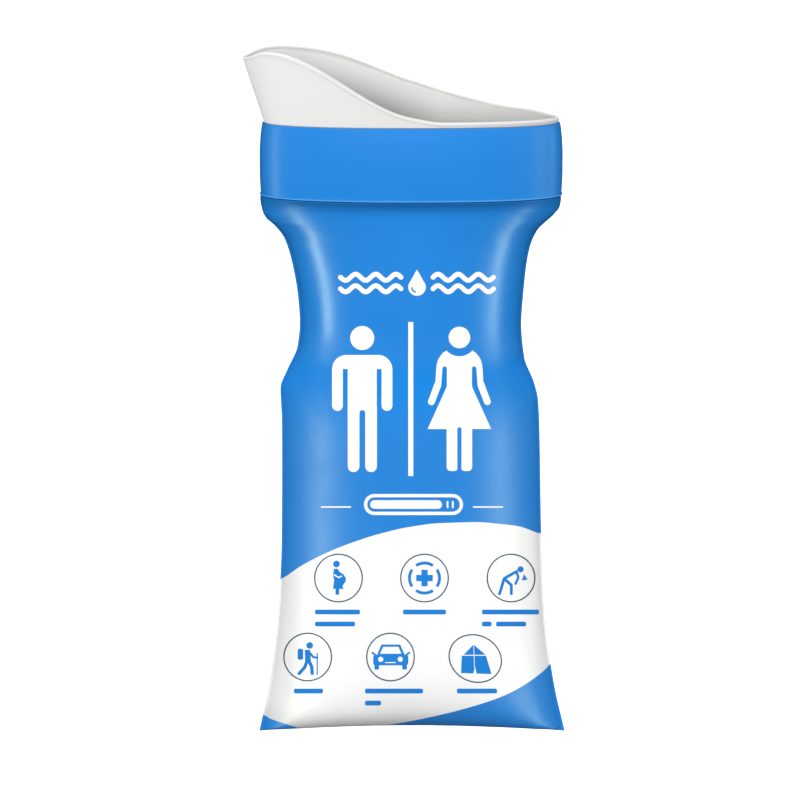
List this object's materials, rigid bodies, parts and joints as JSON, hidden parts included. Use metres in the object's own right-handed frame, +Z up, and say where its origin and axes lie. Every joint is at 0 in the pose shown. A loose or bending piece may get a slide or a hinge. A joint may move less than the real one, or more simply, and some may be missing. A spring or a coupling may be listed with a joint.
{
  "type": "travel urine pouch",
  "caption": "Disposable urine pouch: stiff oval funnel with a saddle rim and collar on a welded film bag, with a lip valve and absorbent sachet inside.",
  "frame": {"origin": "middle of the hand grip, the narrowest place of the bag, on the plane of its side welds", "axes": "+Z up to the mouth, -Y the printed front, +X across the pouch to the low side of the funnel's rim"},
  "size_m": [0.1284, 0.06, 0.277],
  "materials": {
    "funnel_white": "satin moulded polyethylene",
    "collar_blue": "semi-gloss",
    "printed_film": "printed film, blue with a white field and pictograms",
    "back_film": "printed film, blue with a white field",
    "valve_film": "clear soft film",
    "nonwoven": "spunbond nonwoven",
    "absorbent_pad": "fibre pad with absorbent grains"
  },
  "bodies": {
    "pouch": {"mouth_funnel": "funnel_white", "collar_band": "collar_blue", "front_film": "printed_film", "back_film": "back_film", "valve_sleeve": "valve_film"},
    "lip_front": {"valve_flap_front": "valve_film"},
    "lip_back": {"valve_flap_back": "valve_film"},
    "sachet": {"sachet_front_sheet": "nonwoven", "sachet_back_sheet": "nonwoven", "absorbent_core": "absorbent_pad"}
  },
  "joints": [
    {"name": "lip_front_open", "type": "hinge", "parent": "pouch", "child": "lip_front", "pos_m": [0, -0.014, 0.0433], "axis": [-1, 0, 0], "range_deg": [0, 18], "stiffness_Nm_per_rad": 0.001, "springref_deg": -28.65},
    {"name": "lip_back_open", "type": "hinge", "parent": "pouch", "child": "lip_back", "pos_m": [0, 0.014, 0.0433], "axis": [1, 0, 0], "range_deg": [0, 18], "stiffness_Nm_per_rad": 0.001, "springref_deg": -28.65},
    {"name": "sachet_lift", "type": "slide", "parent": "pouch", "child": "sachet", "axis": [0, 0, 1], "range_m": [0, 0.055]}
  ],
  "couplings": [
    {"joint": "lip_back_open", "follows": "lip_front_open", "ratio": 1}
  ]
}
